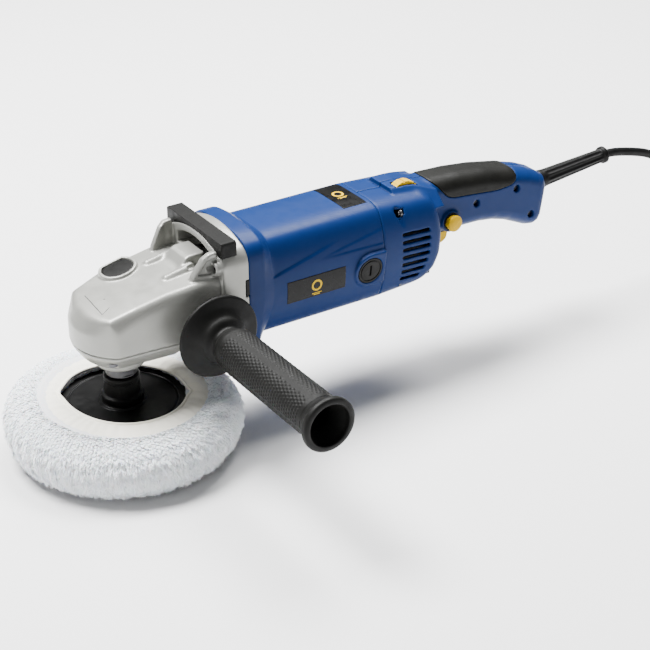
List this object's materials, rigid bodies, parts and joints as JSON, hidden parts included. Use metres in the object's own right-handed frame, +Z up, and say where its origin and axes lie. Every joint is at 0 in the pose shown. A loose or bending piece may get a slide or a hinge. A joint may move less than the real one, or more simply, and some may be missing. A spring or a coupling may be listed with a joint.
{
  "type": "rotary polisher",
  "caption": "Right-angle corded rotary polisher with a wool bonnet on a backing pad, a side handle, and a rear grip with trigger, run lock and speed dial.",
  "frame": {"origin": "spindle axis at the working face of the wool bonnet", "axes": "+Z up along the spindle, away from the work; +X rearwards along the motor to the rear handle and cord; the fitted side handle points along -Y"},
  "size_m": [0.811, 0.3125, 0.177],
  "materials": {
    "wool": "long wool pile",
    "collar_cloth": "ivory suede cloth",
    "pad_rubber": "satin",
    "black_plastic": "satin",
    "badge_black": "gloss",
    "steel": "machined",
    "dark_steel": "blackened",
    "seal_rubber": "matt",
    "case_metal": "silver painted casting",
    "handle_rubber": "dimpled",
    "core_steel": "laminated",
    "copper": "enamelled wire",
    "housing_blue": "semi-gloss",
    "brass": "satin",
    "carbon": "matt",
    "grip_rubber": "satin",
    "yellow_plastic": "gloss",
    "board_green": "satin",
    "cord_rubber": "satin"
  },
  "bodies": {
    "root": {"bearing_plate": "case_metal", "plate_screws": "dark_steel", "spindle_bearing": "steel", "spindle_seal": "seal_rubber", "needle_bearing": "steel", "gear_case": "case_metal", "rest_pad": "black_plastic", "case_screws": "steel", "lock_pin_spring": "steel", "side_handle": "handle_rubber", "handle_stud": "steel", "front_bearing": "steel", "rear_bearing": "steel", "rear_bearing_bracket": "black_plastic", "baffle_ring": "black_plastic", "stator_core": "core_steel", "stator_coils": "copper", "motor_housing": "housing_blue", "brush_holders": "brass", "carbon_brushes": "carbon", "brush_springs": "steel", "brush_caps": "black_plastic", "side_badges": "badge_black", "top_badge": "badge_black", "rear_housing_left": "housing_blue", "rear_housing_right": "housing_blue", "grip_cover": "grip_rubber", "housing_screws": "dark_steel", "handle_screws": "dark_steel", "speed_board": "board_green", "trigger_switch": "black_plastic", "trigger_spring": "steel", "run_lock_spring": "steel", "strain_relief": "cord_rubber", "cord_clamp": "black_plastic", "cord": "cord_rubber", "cord_coil": "cord_rubber", "cord_tie": "cord_rubber", "plug_body": "cord_rubber", "plug_blades": "brass"},
    "spindle": {"spindle": "steel", "crown_gear": "steel", "gear_key": "steel", "spindle_circlip": "dark_steel", "pad_hub": "black_plastic", "backing_pad": "pad_rubber", "wool_bonnet": "wool", "bonnet_collar": "collar_cloth", "collar_drawcord": "collar_cloth"},
    "armature": {"armature_shaft": "steel", "armature_core": "core_steel", "armature_windings": "copper", "commutator": "copper", "cooling_fan": "black_plastic", "pinion_gear": "steel"},
    "trigger": {"trigger": "yellow_plastic"},
    "run_lock": {"run_lock_button": "yellow_plastic"},
    "speed_dial": {"speed_dial": "yellow_plastic"},
    "spindle_lock": {"lock_button_top": "black_plastic", "lock_pin": "steel"}
  },
  "joints": [
    {"name": "spindle_spin", "type": "hinge", "parent": "root", "child": "spindle", "pos_m": [0, 0, 0], "axis": [0, 0, 1], "continuous": true},
    {"name": "armature_spin", "type": "hinge", "parent": "root", "child": "armature", "pos_m": [0, 0, 0.122], "axis": [1, 0, 0], "continuous": true},
    {"name": "trigger_pull", "type": "slide", "parent": "root", "child": "trigger", "axis": [0, 0, 1], "range_m": [0, 0.005], "stiffness_N_per_m": 900, "springref_m": -0.003, "deforming": ["trigger_spring"]},
    {"name": "run_lock_press", "type": "slide", "parent": "root", "child": "run_lock", "axis": [0, 1, 0], "range_m": [0, 0.002], "stiffness_N_per_m": 600, "springref_m": -0.002},
    {"name": "speed_dial_turn", "type": "hinge", "parent": "root", "child": "speed_dial", "pos_m": [0.265, -0.0095, 0.1568], "axis": [0, 1, 0], "range_deg": [-135, 135]},
    {"name": "spindle_lock_press", "type": "slide", "parent": "root", "child": "spindle_lock", "axis": [0, 0, -1], "range_m": [0, 0.004], "stiffness_N_per_m": 800, "springref_m": -0.002, "deforming": ["lock_pin_spring"]}
  ],
  "couplings": [
    {"joint": "armature_spin", "follows": "spindle_spin", "ratio": 4.5}
  ]
}
